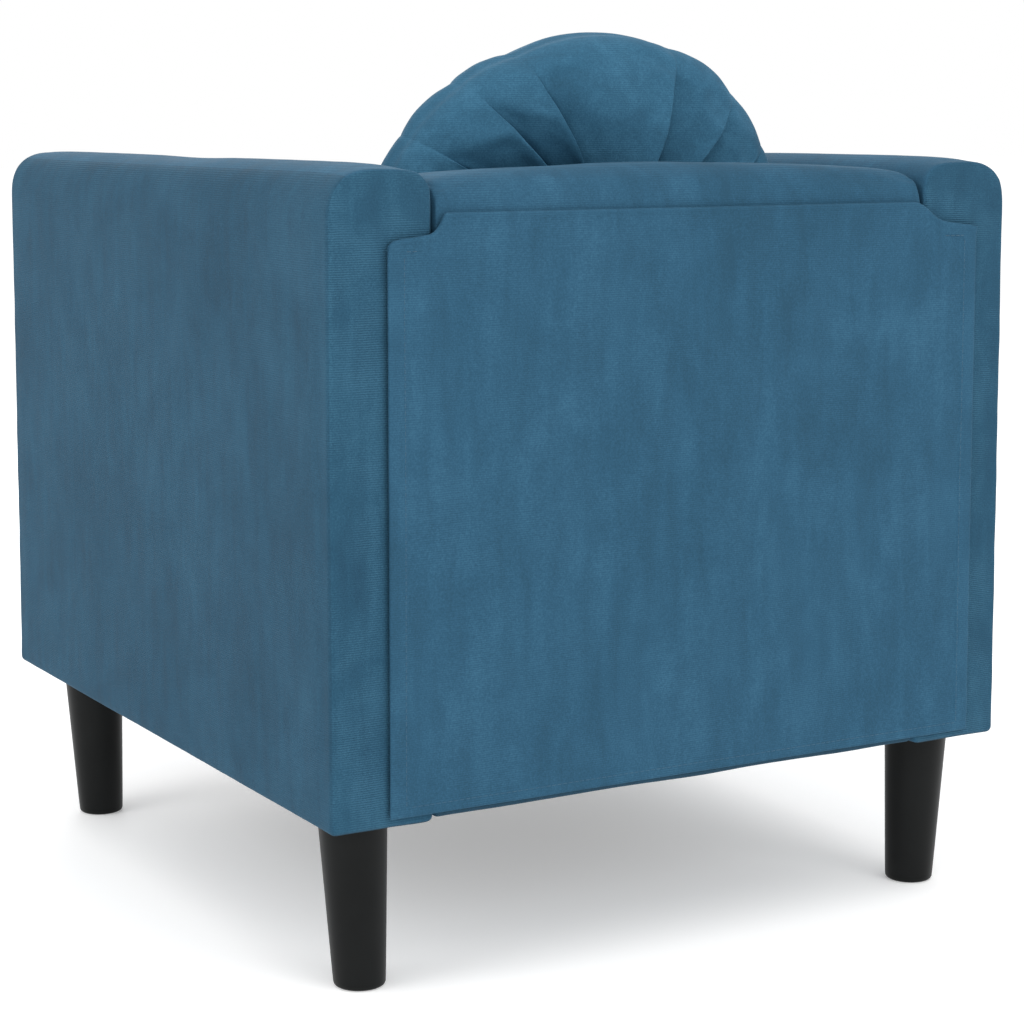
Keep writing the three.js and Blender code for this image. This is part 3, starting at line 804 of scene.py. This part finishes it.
def add_seat_base():
    """The upholstered base between the arms, whose front swells a little."""
    low, high = corners_of("seat_base_cover")
    points, faces, seam = soft_box(low, high, 0, BASE_RADII, (BASE_FILLET, BASE_FILLET), CUSHION_STEP)
    # Faces that look down take the darker velvet copy: painted shade on the base's underside.
    under = faces_facing(points, faces, 2, -1)
    base = make_piece("seat_base_upholstery", points, faces, [VELVET, VELVET_SHADED_UNDERSIDE], under)
    still = (points[:, 1] >= low[1] + BASE_FRONT) | (points[:, 2] < low[2] + 6 * MM)
    puff(base, seam, still, FIRM, BASE_SWELL)
    points = place_of(base)
    waves = 0.5 * MM * ripple(points, 90 * MM, 31)
    push_out(base, points, waves)
    subdivide(base)
    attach(base, "chair")
    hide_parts("seat_base_cover")


# ---- seat cushion ----
CUSHION_RADII = (26 * MM, 26 * MM, 12 * MM, 12 * MM)  # its front corners, then its rear ones
CUSHION_FILLET = 7 * MM
CUSHION_START = {"top": 5 * MM, "side": 2.5 * MM}  # how much smaller the cushion is before it swells
CUSHION_SWELL = 9 * MM
SOFT_CLOTH = 8.0  # stiffness for puff
WELT_RADIUS = 3.2 * MM


def seam_loop(points, seam, level, above):
    """The seam's points on one end, in order round the cushion."""
    chosen = [v for v in seam if (points[v][2] > level) == above]
    middle = points[chosen].mean(axis=0)
    chosen.sort(key=lambda v: math.atan2(points[v][1] - middle[1], points[v][0] - middle[0]))
    return np.array(chosen)


def add_seat_cushion():
    """A boxed cushion with a welt round its top and bottom edges, crowned where it is free to swell."""
    low, high = corners_of("seat_cushion_cover")
    high[2] -= CUSHION_START["top"]
    low[:2] += CUSHION_START["side"]
    high[0] -= CUSHION_START["side"]
    fillets = (CUSHION_FILLET, CUSHION_FILLET)
    points, faces, seam = soft_box(low, high, 2, CUSHION_RADII, fillets, CUSHION_STEP)
    cushion = make_piece("seat_cushion_boxed", points, faces, [VELVET_CUSHION])
    middle = (low[2] + high[2]) / 2
    underside = points[:, 2] < low[2] + 1 * MM
    puff(cushion, seam, underside, PLUMP, CUSHION_SWELL, SOFT_CLOTH)
    points = place_of(cushion)
    normals = normals_of(cushion)
    edge = np.minimum.reduce([points[:, 0] - low[0], high[0] - points[:, 0], points[:, 1] - low[1]])
    waves = 0.9 * MM * ripple(points, 110 * MM, 41)
    waves += 0.7 * MM * ripple(points, 24 * MM, 42) * np.exp(-np.abs(edge) / (25 * MM))
    waves[seam] = 0
    move_to(cushion, points + normals * waves[:, None])
    groove(cushion, seam, 1.2 * MM, 3 * MM, normals)
    points = place_of(cushion)
    loops = [seam_loop(points, seam, middle, above) for above in (True, False)]
    welts = [tube_net(points[loop] + normals[loop] * WELT_RADIUS * 0.7, WELT_RADIUS) for loop in loops]
    welt = make_piece("seat_cushion_welts", *joined(welts), [VELVET_CUSHION])
    subdivide(cushion)
    subdivide(welt)
    for piece in (cushion, welt):
        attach(piece, "seat_cushion")
    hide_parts("seat_cushion_cover", "seat_cushion_core")


# ---- round cushion ----
ROUND = {"radius": 213 * MM, "settled": 0.92, "half": 62 * MM, "dimple": 34 * MM, "ring": 82 * MM}
ROUND_LEAN = 10.0
# Each pleat's place round the cushion, in degrees from the top, and how deep it is folded.
PLEATS = (
    (-172, 1.0), (-152, 0.9), (-133, 1.0), (-114, 0.8), (-95, 1.0), (-77, 0.9),
    (-59, 0.9), (-40, 1.15), (-24, 1.25), (20, 1.0), (42, 0.85), (60, 0.9),
    (78, 1.0), (96, 0.8), (114, 1.0), (133, 0.9), (151, 1.0), (169, 0.8),
)
PLEAT = {"depth": 28 * MM, "valley": 17 * MM, "lip": 12 * MM, "overlap": 5 * MM, "belly": 2.4 * MM}
# Where the points of each panel lie between its pleats, closer together beside them.
PANEL_STEPS = (0, 0.012, 0.03, 0.06, 0.11, 0.18, 0.27, 0.37, 0.48, 0.59, 0.7, 0.8, 0.88, 0.94, 0.975, 0.992)
RIM_PINCH = 3 * MM
RIM_SCALLOP = 0.010
ROUND_ROWS = 22  # of points from the ring of fullest padding to the rim
ROUND_SWELL = 4 * MM
ROUND_SHIFT = -6.5 * MM  # it sits a little to the sitter's right
ROUND_WIDEN = 1.025


def round_profile(count):
    """(radius, half thickness) from the button out to the rim's seam."""
    outer, half, dimple, ring = ROUND["radius"], ROUND["half"], ROUND["dimple"], ROUND["ring"]
    rows = []
    for t in np.linspace(0, 1, 11)[:-1]:
        radius = 10 * MM + (ring - 10 * MM) * t
        rows.append((radius, dimple + (half - dimple) * math.sin(math.pi / 2 * radius / ring) ** 2))
    for t in np.linspace(0, 1, count):
        angle = math.pi / 2 * (1 - t)
        radius = ring + (outer - ring) * math.cos(angle) ** 0.9
        height = half * math.sin(angle) ** 0.8
        radius -= RIM_PINCH * max(0.0, 1 - height / (9 * MM)) ** 2
        rows.append((radius, height))
    return np.array(rows)


def outline_bulge(angle):
    """The cushion is fuller at its upper right as seen from the rear, and a little flat at its upper left."""
    turn = (angle + math.pi) % (2 * math.pi) - math.pi
    full = 0.022 * np.exp(-((turn - math.radians(28)) / math.radians(18)) ** 2)
    flat = 0.016 * np.exp(-((turn + math.radians(22)) / math.radians(14)) ** 2)
    return 1 + full - flat


def round_axes():
    """The ways up and forward of the round cushion, which leans on the back."""
    lean = math.radians(ROUND_LEAN)
    return np.array([0, math.sin(lean), math.cos(lean)]), np.array([0, -math.cos(lean), math.sin(lean)])


def add_round_cushion():
    """A round cushion whose cloth is laid in pleats that run from the rim to a covered button."""
    up, front = round_axes()
    low, high = corners_of("round_cushion_cover")
    centre = (low + high) / 2 + np.array([ROUND_SHIFT, 0, 0])
    starts = np.array([math.radians(angle) for angle, _ in PLEATS])
    depths = np.array([depth for _, depth in PLEATS])
    widths = np.diff(np.append(starts, starts[0] + 2 * math.pi))
    theta = np.concatenate([start + np.array(PANEL_STEPS) * width for start, width in zip(starts, widths)])
    share = np.tile(PANEL_STEPS, len(PLEATS))
    here = np.repeat(depths, len(PANEL_STEPS))
    following = np.repeat(np.roll(depths, -1), len(PANEL_STEPS))
    panel = np.repeat(widths, len(PANEL_STEPS))
    belly = np.sin(math.pi * share) ** 0.8
    profile = round_profile(ROUND_ROWS)
    points, faces = [], []
    around = len(theta)

    def spread_out(spread, turn):
        """Places on the cushion's middle plane, at these distances and turns from its centre."""
        spread = spread * outline_bulge(turn)
        across = -spread * ROUND_WIDEN * np.sin(turn)
        rise = spread * np.cos(turn) * ROUND["settled"]
        return centre + across[:, None] * np.array([1, 0, 0]) + rise[:, None] * up

    for face_side in (-1, 1):
        for radius, height in profile[:-1]:
            reach = radius / ROUND["radius"]
            fold = smoothstep(reach, 0.98, 0.56) * smoothstep(reach, 0.02, 0.24)
            depth = PLEAT["depth"] * fold
            valley = here * np.exp(-share * panel * radius / PLEAT["valley"])
            lip = following * np.exp(-((1 - share) * panel * radius / PLEAT["lip"]) ** 2)
            fullness = PLEAT["belly"] * belly * smoothstep(reach, 0.1, 0.4) * min(1, height / (20 * MM))
            raised = height - depth * valley + 0.34 * depth * lip + fullness
            turn = theta + PLEAT["overlap"] * fold * lip / max(radius, 20 * MM)
            scallop = 1 - RIM_SCALLOP * (1 - belly) * smoothstep(reach, 0.75, 1.0)
            points.append(spread_out(radius * scallop, turn) + face_side * raised[:, None] * front)
    points.append(spread_out(profile[-1][0] * (1 - RIM_SCALLOP * (1 - belly)), theta))
    rings = len(profile) - 1
    rim_start = 2 * rings * around
    for s in (0, 1):
        base = s * rings * around
        for r in range(rings):
            for i in range(around):
                j = (i + 1) % around
                nxt = rim_start if r == rings - 1 else base + (r + 1) * around
                quad = (base + r * around + i, base + r * around + j, nxt + j, nxt + i)
                faces.append(quad if s else quad[::-1])
        inner = [base + i for i in range(around)]
        faces += strip_cap(inner[::-1] if s else inner)
    points = np.concatenate(points)
    cushion = make_piece("round_cushion_pleated", points, faces, [VELVET_CUSHION])
    ring_of = np.concatenate([np.tile(np.repeat(np.arange(rings), around), 2), np.full(around, rings)])
    crease = np.tile(share, 2 * rings + 1)
    held = (ring_of < 3) | (ring_of == rings) | ((crease < 0.04) & (ring_of < rings - 4))
    puff(cushion, [], held, PLUMP, ROUND_SWELL, SOFT_CLOTH)
    points = place_of(cushion)
    waves = 0.9 * MM * ripple(points, 60 * MM, 51) + 0.4 * MM * ripple(points, 18 * MM, 52)
    points = points + normals_of(cushion) * waves[:, None]
    rest_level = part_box("seat_cushion_cover")[1][2] + 1.5 * MM
    under = np.maximum(rest_level - points[:, 2], 0)
    points[:, 2] += under * 0.92
    move_to(cushion, points)
    cushion.data.flip_normals()  # the net is wound inwards, so that the pressure draws its pleats in
    subdivide(cushion)
    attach(cushion, "round_cushion")
    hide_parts("round_cushion_cover", "round_cushion_fill")


# Radius and height of each ring of a button's points, in millimetres.
BUTTON_ROWS = ((1.5, 11), (4, 10.6), (7.5, 9.4), (11, 7.2), (14, 4.0), (15.6, 0.8), (15, -2.5), (12, -4.5))
BUTTON_AROUND = 36


def add_buttons():
    """A cloth-covered button on each face, its cloth gathered in fine creases towards the edge."""
    up, front = round_axes()
    for end, out in (("front", front), ("rear", -front)):
        node = f"round_cushion_{end}_button"
        low, high = corners_of(node)
        side = np.cross(up, out)
        centre = (low + high) / 2 + np.array([ROUND_SHIFT, 0, 0])
        points = []
        for radius, height in BUTTON_ROWS:
            for i in range(BUTTON_AROUND):
                angle = 2 * math.pi * i / BUTTON_AROUND
                crease = 1 + 0.018 * math.cos(angle * 12) * (radius / 16) ** 3
                spoke = side * math.cos(angle) + up * math.sin(angle)
                points.append(centre + spoke * radius * crease * MM + out * height * MM)
        faces = turned_tube(len(BUTTON_ROWS), BUTTON_AROUND, flip=True)
        button = make_piece(f"{end}_button_covered", points, faces, [VELVET_CUSHION])
        subdivide(button)
        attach(button, "round_cushion")
        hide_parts(node)


# ---- rear flap ----
FLAP = {
    "thick": 3.2 * MM, "stands_off": 1.4 * MM,
    "left_notch": 246 * MM, "left_run": 22 * MM,  # where the top edge starts to fall, and the fall's width
    "right_notch": -243 * MM, "right_run": 30 * MM,
    "ear_drop": 18 * MM, "corner": 8 * MM, "corner_drop": 7 * MM,
}
EAR_SLOPES = ((1, 264 * MM, 34 * MM, 4 * MM), (-1, 273 * MM, 39 * MM, 5 * MM))  # side, start, width and fall
HEM = {"side": 16 * MM, "bottom": 10 * MM, "ear": 12 * MM, "step": 1.1 * MM, "stitch_in": 1.6 * MM}
# Distances from the flap's edges at which its points lie close together, in millimetres.
SIDE_FINE = (0, 0.6, 1.6, 3.5, 7, 11, 14.2, 15.4, 16.2, 17.2, 19, 22)
BOTTOM_FINE = (0, 0.6, 1.6, 3.5, 6.5, 8.6, 9.6, 10.4, 11.4, 13.5, 18)
TOP_FINE = (0, 0.5, 1.2, 2.2, 4, 7, 10, 11.4, 12.6, 14, 18, 24)


def flap_top(x, high):
    """The height of the flap's top edge: level in the middle, then down to an ear over each arm."""
    left = np.clip((x - FLAP["left_notch"]) / FLAP["left_run"], 0, 1)
    right = np.clip((FLAP["right_notch"] - x) / FLAP["right_run"], 0, 1)
    level = high[2] - FLAP["ear_drop"] * np.maximum(1 - (1 - left) ** 3.2, smoothstep(right))
    corner = np.clip((x - (high[0] - FLAP["corner"])) / FLAP["corner"], 0, 1)
    level -= FLAP["corner_drop"] * (1 - np.sqrt(np.maximum(0, 1 - corner ** 2.2)))
    for side, start, width, fall in EAR_SLOPES:
        level -= fall * np.clip((side * x - start) / width, 0, 1)
    return level


def add_flap():
    """A hemmed cloth panel: a thin closed sheet with thicker hems, rolled over at its sewn top."""
    low, high = corners_of("rear_flap")
    xs = stations(low[0], high[0], 9 * MM, tuple(MM * s for s in SIDE_FINE))
    steep = np.arange(0, 24 * MM, 1.5 * MM) + FLAP["left_notch"] - 1 * MM
    xs = np.array(sorted([x for x in xs if not steep[0] - 4 * MM < x < steep[-1] + 1 * MM] + list(steep)))
    middle = np.linspace(0, 1, 46)[1:-1]
    rear = high[1] + FLAP["stands_off"]
    tops = flap_top(xs, high)
    sheet = []
    for x, top in zip(xs, tops):
        span_low, span_high = low[2] + MM * BOTTOM_FINE[-1], top - MM * TOP_FINE[-1]
        zs = [low[2] + MM * f for f in BOTTOM_FINE] + list(span_low + (span_high - span_low) * middle)
        zs += [top - MM * f for f in reversed(TOP_FINE)]
        sheet.append([(x, 0.0, z) for z in zs])
    sheet = np.array(sheet)
    x, z = sheet[:, :, 0], sheet[:, :, 2]
    from_side = np.minimum(x - low[0], high[0] - x)
    from_bottom = z - low[2]
    from_top = tops[:, None] - z
    is_ear = np.maximum(smoothstep(x, 252 * MM, 272 * MM), smoothstep(-x, 255 * MM, 285 * MM))

    def hem(distance, width):
        inside = 1 - smoothstep(distance, width - 0.5 * MM, width + 0.5 * MM)
        stitch = np.exp(-((distance - width + HEM["stitch_in"]) / (0.9 * MM)) ** 2)
        return inside, stitch

    side, side_stitch = hem(from_side, HEM["side"])
    foot, foot_stitch = hem(from_bottom, HEM["bottom"])
    ear, ear_stitch = hem(from_top, HEM["ear"])
    ear, ear_stitch = ear * is_ear, ear_stitch * is_ear
    raised = HEM["step"] * np.maximum.reduce([side, foot, 1.5 * ear])
    raised -= 0.6 * MM * np.maximum.reduce([side_stitch, foot_stitch, ear_stitch])
    raised += 1.3 * MM * np.exp(-((from_top - 2.5 * MM) / (2 * MM)) ** 2)
    flat = np.stack([x.ravel(), np.zeros(x.size), z.ravel()], 1)
    wave = 0.55 * MM * ripple(flat * (1, 1, 0.5), 90 * MM, 61) + 0.18 * MM * ripple(flat, 22 * MM, 62)
    wave = wave.reshape(x.shape) * smoothstep(from_top, 0, 30 * MM)
    edge_distance = np.minimum.reduce([from_side, from_bottom, from_top])
    roll = 1.1 * MM * (1 - smoothstep(edge_distance, 0, 1.8 * MM))
    outer_y = rear - 1.2 * MM + raised + wave - roll
    inner_y = rear - FLAP["thick"] - 0.4 * MM * smoothstep(edge_distance, 0, 3 * MM) + wave * 0.4
    inner_y = np.minimum(inner_y, outer_y - 1.0 * MM)
    points = np.concatenate([np.stack([x.ravel(), y.ravel(), z.ravel()], 1) for y in (outer_y, inner_y)])
    flap = make_piece("rear_flap_cloth", points, closed_sheet(*x.shape), [VELVET])
    subdivide(flap)
    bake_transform(flap)
    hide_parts("rear_flap")

    def line(xz):
        """A path on the flap's outer face, through places given by their X and Z."""
        spots = np.array(xz)
        steps = []
        for (x0, z0), (x1, z1) in zip(spots[:-1], spots[1:]):
            pieces = max(2, int(math.hypot(x1 - x0, z1 - z0) / (8 * MM)))
            steps += [(x0 + (x1 - x0) * k / pieces, z0 + (z1 - z0) * k / pieces) for k in range(pieces)]
        steps.append(tuple(spots[-1]))
        path = []
        for px, pz in steps:
            i = int(np.abs(xs - px).argmin())
            j = int(np.abs(z[i] - pz).argmin())
            path.append((px, outer_y[i, j] + 0.1 * MM, pz))
        return path

    right_x, left_x = low[0] + HEM["side"] - HEM["stitch_in"], high[0] - HEM["side"] + HEM["stitch_in"]
    foot_z = low[2] + HEM["bottom"] - HEM["stitch_in"]
    right_z, left_z = flap_top(np.array([right_x, left_x]), high) - HEM["ear"] + HEM["stitch_in"]
    right_end = FLAP["right_notch"] - FLAP["right_run"] - 2 * MM
    left_end = FLAP["left_notch"] + FLAP["left_run"]
    stitches("flap_right_stitches", line([(right_x, foot_z), (right_x, right_z)]))
    stitches("flap_left_stitches", line([(left_x, foot_z), (left_x, left_z)]))
    stitches("flap_bottom_stitches", line([(right_x, foot_z), (left_x, foot_z)]))
    stitches("flap_left_ear_stitches", line([(left_x, left_z), (left_end, left_z)]))
    stitches("flap_right_ear_stitches", line([(right_x, right_z), (right_end, right_z)]))


# ---- legs ----
LEG = {"foot": 22.5 * MM, "top": 30 * MM, "lean": 6 * MM, "around": 48}
# The leg's rings in millimetres: radius and height at the foot, radius and distance below the top.
LEG_FOOT = ((8, 0), (15, 0), (19.4, 0), (20.6, 0.2), (21.6, 0.9), (22.3, 2.0), (22.5, 3.2), (22.7, 6))
LEG_TOP = ((29.9, 1.5), (29.4, 0.4), (28, 0))


def add_leg(end, side_name, side):
    """A tapered leg with an eased foot, its outer side slanting in more than its inner one."""
    node = f"{end}_{side_name}_leg"
    low, high = corners_of(node)
    top_x = high[0] - LEG["top"] if side > 0 else low[0] + LEG["top"]
    y = (low[1] + high[1]) / 2
    height = high[2]
    rows = [(radius * MM, z * MM) for radius, z in LEG_FOOT]
    for share in np.linspace(0.1, 0.96, 9):
        rows.append((LEG["foot"] + (LEG["top"] - LEG["foot"]) * share, height * share))
    rows += [(radius * MM, height - below * MM) for radius, below in LEG_TOP]
    points = []
    for radius, z in rows:
        x = top_x - side * LEG["lean"] * (1 - z / height)
        for i in range(LEG["around"]):
            angle = 2 * math.pi * i / LEG["around"]
            points.append((x + radius * math.cos(angle), y + radius * math.sin(angle), z))
    faces = turned_tube(len(rows), LEG["around"])
    leg = make_piece(f"{end}_{side_name}_leg_moulded", points, faces, [PLASTIC])
    subdivide(leg)
    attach(leg, "chair")
    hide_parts(node)


# ---- underside ----
def add_dust_cover():
    """A thin black cloth under the seat, its edges turned in and stapled, sagging a little."""
    low, high = corners_of("dust_cover")
    fine = (0, 2 * MM, 8 * MM, 12 * MM, 16 * MM)
    x, y = np.meshgrid(*(stations(low[i], high[i], 16 * MM, fine) for i in (0, 1)), indexing="ij")
    flat = np.stack([x.ravel(), y.ravel(), np.zeros(x.size)], 1)
    edge = np.minimum.reduce([x - low[0], high[0] - x, y - low[1], high[1] - y])
    sag = 2.0 * MM * smoothstep(edge, 10 * MM, 150 * MM)
    crinkle = 0.35 * MM * ripple(flat, 45 * MM, 71).reshape(x.shape) * smoothstep(edge, 0, 30 * MM)
    lower = high[2] - 0.8 * MM - sag + crinkle
    upper = lower + 0.6 * MM + 0.5 * MM * (1 - smoothstep(edge, 10 * MM, 13 * MM))
    upper = np.minimum(upper, high[2] + 0.2 * MM)
    points = np.concatenate([np.stack([x.ravel(), y.ravel(), h.ravel()], 1) for h in (lower, upper)])
    cover = make_piece("dust_cover_cloth", points, closed_sheet(*x.shape), [DUST_CLOTH])
    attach(cover, "chair")
    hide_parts("dust_cover")


def add_loop_strips():
    """Soft looped tape on the chair, where each of the flap's hook strips presses on."""
    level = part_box("left_arm_cover")[1][1] + ARM_REAR_SWELL
    for name in ("left", "right", "bottom"):
        low, high = corners_of(f"{name}_hook_strip")
        rear = level if name != "bottom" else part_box("back_cover")[1][1]
        low[1], high[1] = rear - 0.8 * MM, rear + 0.7 * MM
        grid = [stations(low[i], high[i], 6 * MM, (0, 0.8 * MM, 2.5 * MM)) for i in (0, 2)]
        points, faces, _ = box_net(grid[0], (low[1], (low[1] + high[1]) / 2, high[1]), grid[1])
        inset, _, _ = inset_of(points, 0, 2, low, high, (2 * MM,) * 4)
        fuzz = 0.25 * MM * ripple(points, 9 * MM, 81)
        soft = points[:, 1] > (low[1] + high[1]) / 2
        points[:, 1] += np.where(soft, fuzz - 0.5 * MM * (1 - smoothstep(inset, 0, 2 * MM)), 0)
        strip = make_piece(f"{name}_loop_strip", points, faces, [SLOT_LOOKS["hook_strip"]])
        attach(strip, "chair")


STAPLE_PITCH = 38 * MM


def add_staples():
    """Staples along the dust cover's turned edge, each a bent wire with its crown on the cloth."""
    low, high = corners_of("dust_cover")
    level = high[2] - 0.9 * MM
    inset, reach, rise, wire = 6 * MM, 5 * MM, 3.5 * MM, 0.5 * MM
    spots = []
    for x in np.arange(low[0] + 20 * MM, high[0] - 15 * MM, STAPLE_PITCH):
        spots += [(x, y, 1, 0) for y in (low[1] + inset, high[1] - inset)]
    for y in np.arange(low[1] + 24 * MM, high[1] - 20 * MM, STAPLE_PITCH):
        spots += [(x, y, 0, 1) for x in (low[0] + inset, high[0] - inset)]
    ends = [(-reach, rise), (-reach, 0.8 * MM), (-reach + 0.8 * MM, 0), (0, 0)]
    ends += [(-run, lift) for run, lift in ends[-2::-1]]
    nets = []
    for x, y, along_x, along_y in spots:
        path = [(x + run * along_x, y + run * along_y, level + lift) for run, lift in ends]
        nets.append(tube_net(path, wire, 6, False))
    staples = make_piece("dust_cover_staples", *joined(nets), [STEEL])
    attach(staples, "chair")


def add_zip():
    """The seat cushion's zip: a woven tape with two rows of moulded teeth that mesh along its middle."""
    low, high = corners_of("seat_cushion_zip")
    middle, rear = (low[2] + high[2]) / 2, high[1]
    xs = stations(low[0], high[0], 9 * MM, (0, 1 * MM, 3 * MM))
    zs = np.array([low[2], low[2] + 0.8 * MM, middle - 2.6 * MM, middle - 1.4 * MM, middle + 1.4 * MM,
                   middle + 2.6 * MM, high[2] - 0.8 * MM, high[2]])
    points, faces, _ = box_net(xs, (low[1], high[1]), zs)
    groove_depth = 0.5 * MM * np.exp(-((points[:, 2] - middle) / (2 * MM)) ** 2)
    points[:, 1] = np.where(points[:, 1] > low[1], points[:, 1] - 0.4 * MM - groove_depth, points[:, 1])
    tape = make_piece("zip_tape", points, faces, [SLOT_LOOKS["hook_strip"]])
    pitch, size = 2.8 * MM, (0.9 * MM, 0.9 * MM, 1.6 * MM)
    nets = []
    for number, x in enumerate(np.arange(low[0] + 3 * MM, high[0] - 3 * MM, pitch / 2)):
        offset = (0.7 if number % 2 else -0.7) * MM
        tooth, tooth_faces, _ = box_net(*(np.array([-1, 0, 1]) * half / 2 for half in size))
        tooth[:, 0] *= 1 - 0.35 * np.abs(tooth[:, 2]) / size[2]
        nets.append((tooth + np.array([x, rear - 0.35 * MM, middle + offset]), tooth_faces))
    teeth = make_piece("zip_teeth", *joined(nets), [PLASTIC])
    for piece in (tape, teeth):
        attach(piece, "seat_cushion")
    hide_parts("seat_cushion_zip")


paint_frame()
add_camera()
add_studio()
add_arms()
for side_name, side in SIDES:
    for end in ("front", "rear"):
        add_leg(end, side_name, side)
add_back()
add_seat_base()
add_seat_cushion()
add_round_cushion()
add_buttons()
add_flap()
add_dust_cover()
add_loop_strips()
add_staples()
add_zip()
